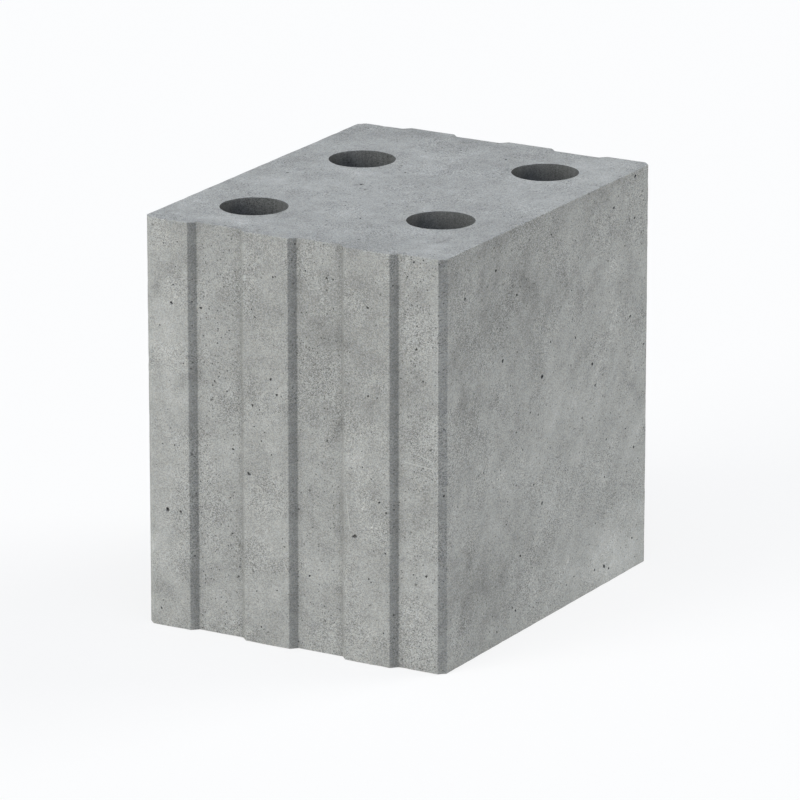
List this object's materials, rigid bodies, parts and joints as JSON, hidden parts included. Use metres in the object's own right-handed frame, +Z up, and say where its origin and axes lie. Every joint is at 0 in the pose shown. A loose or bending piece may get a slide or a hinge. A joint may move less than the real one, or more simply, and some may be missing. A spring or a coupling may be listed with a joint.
{
  "type": "acoustic masonry block",
  "caption": "Dense concrete masonry block with tongue-and-groove heads, plain sides, chamfered upright corners and round vertical ducts right through its height.",
  "frame": {"origin": "centre of the base, halfway between the two heads and between the two plain sides", "axes": "+Z up as the block is laid, +Y along the wall from the front head to the back head, +X through the wall's thickness"},
  "size_m": [0.2, 0.254, 0.25],
  "materials": {
    "concrete": "bare cast concrete, matt, with fine pinholes and cloudy light and dark patches"
  },
  "bodies": {
    "root": {"masonry_block": "concrete"}
  },
  "joints": []
}
